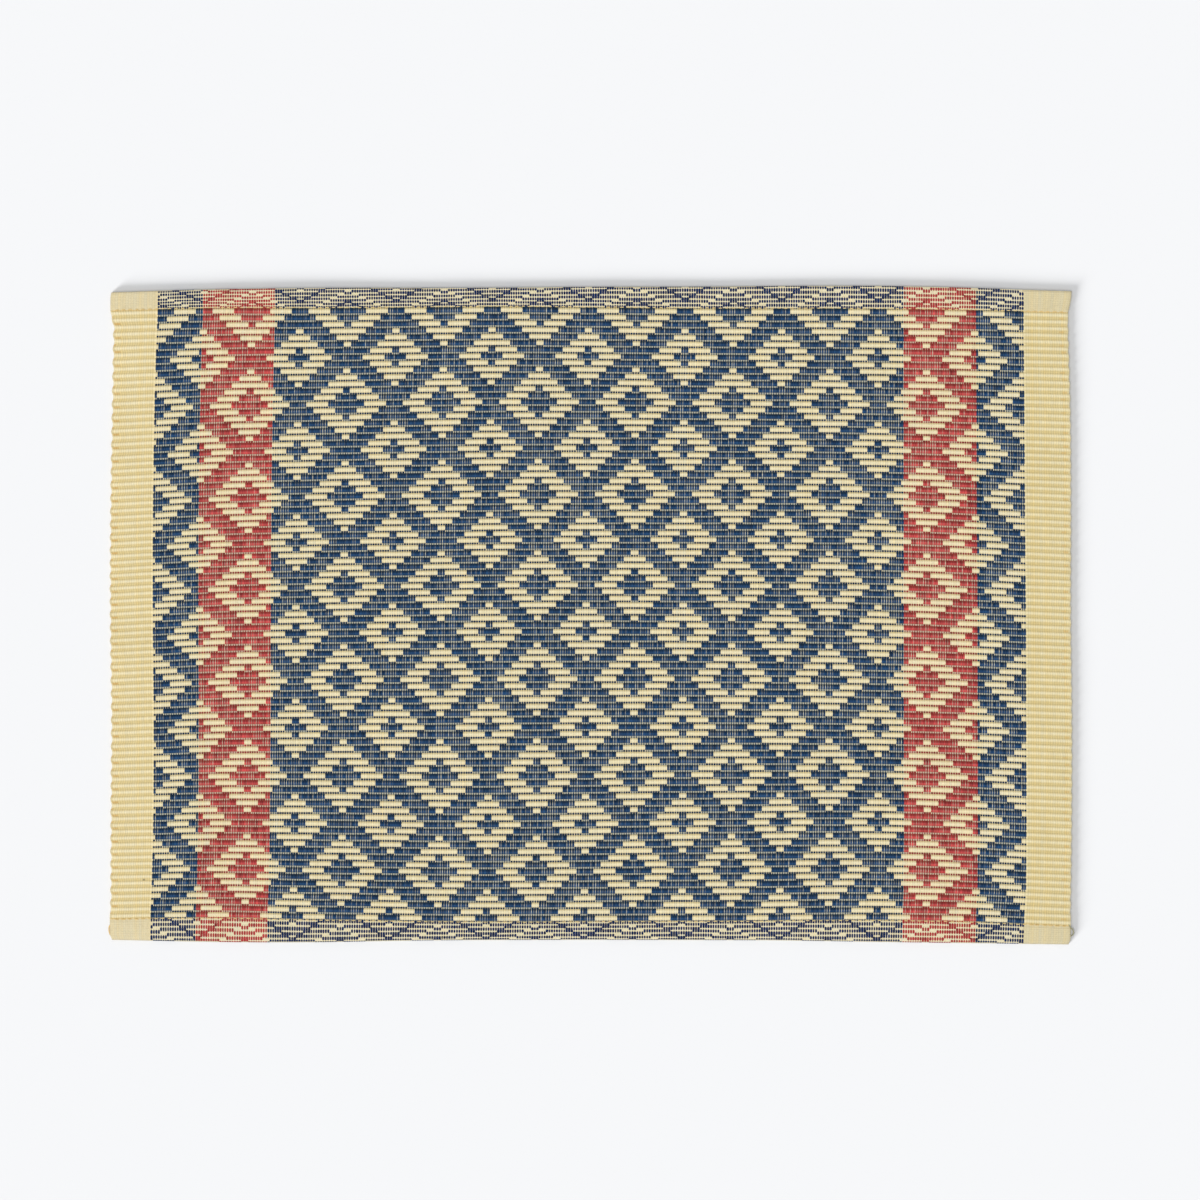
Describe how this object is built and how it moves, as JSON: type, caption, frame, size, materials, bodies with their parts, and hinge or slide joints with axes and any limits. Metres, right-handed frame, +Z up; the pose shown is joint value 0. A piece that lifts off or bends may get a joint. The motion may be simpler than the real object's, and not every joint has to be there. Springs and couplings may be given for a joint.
{
  "type": "fabric placemat",
  "caption": "Rectangular rep-woven table placemat with cross ribs, a lozenge pattern between plain borders and sewn hems, lying flat.",
  "frame": {"origin": "middle of the underside, on the surface that the placemat lies on", "axes": "+X along the ribs and the long side, +Y along the warp towards the far hem, +Z up through the cloth"},
  "size_m": [0.5008, 0.3421, 0.003],
  "materials": {
    "woven_cotton": "matt warp-faced cotton rep weave"
  },
  "bodies": {
    "root": {"placemat": "woven_cotton"}
  },
  "joints": []
}
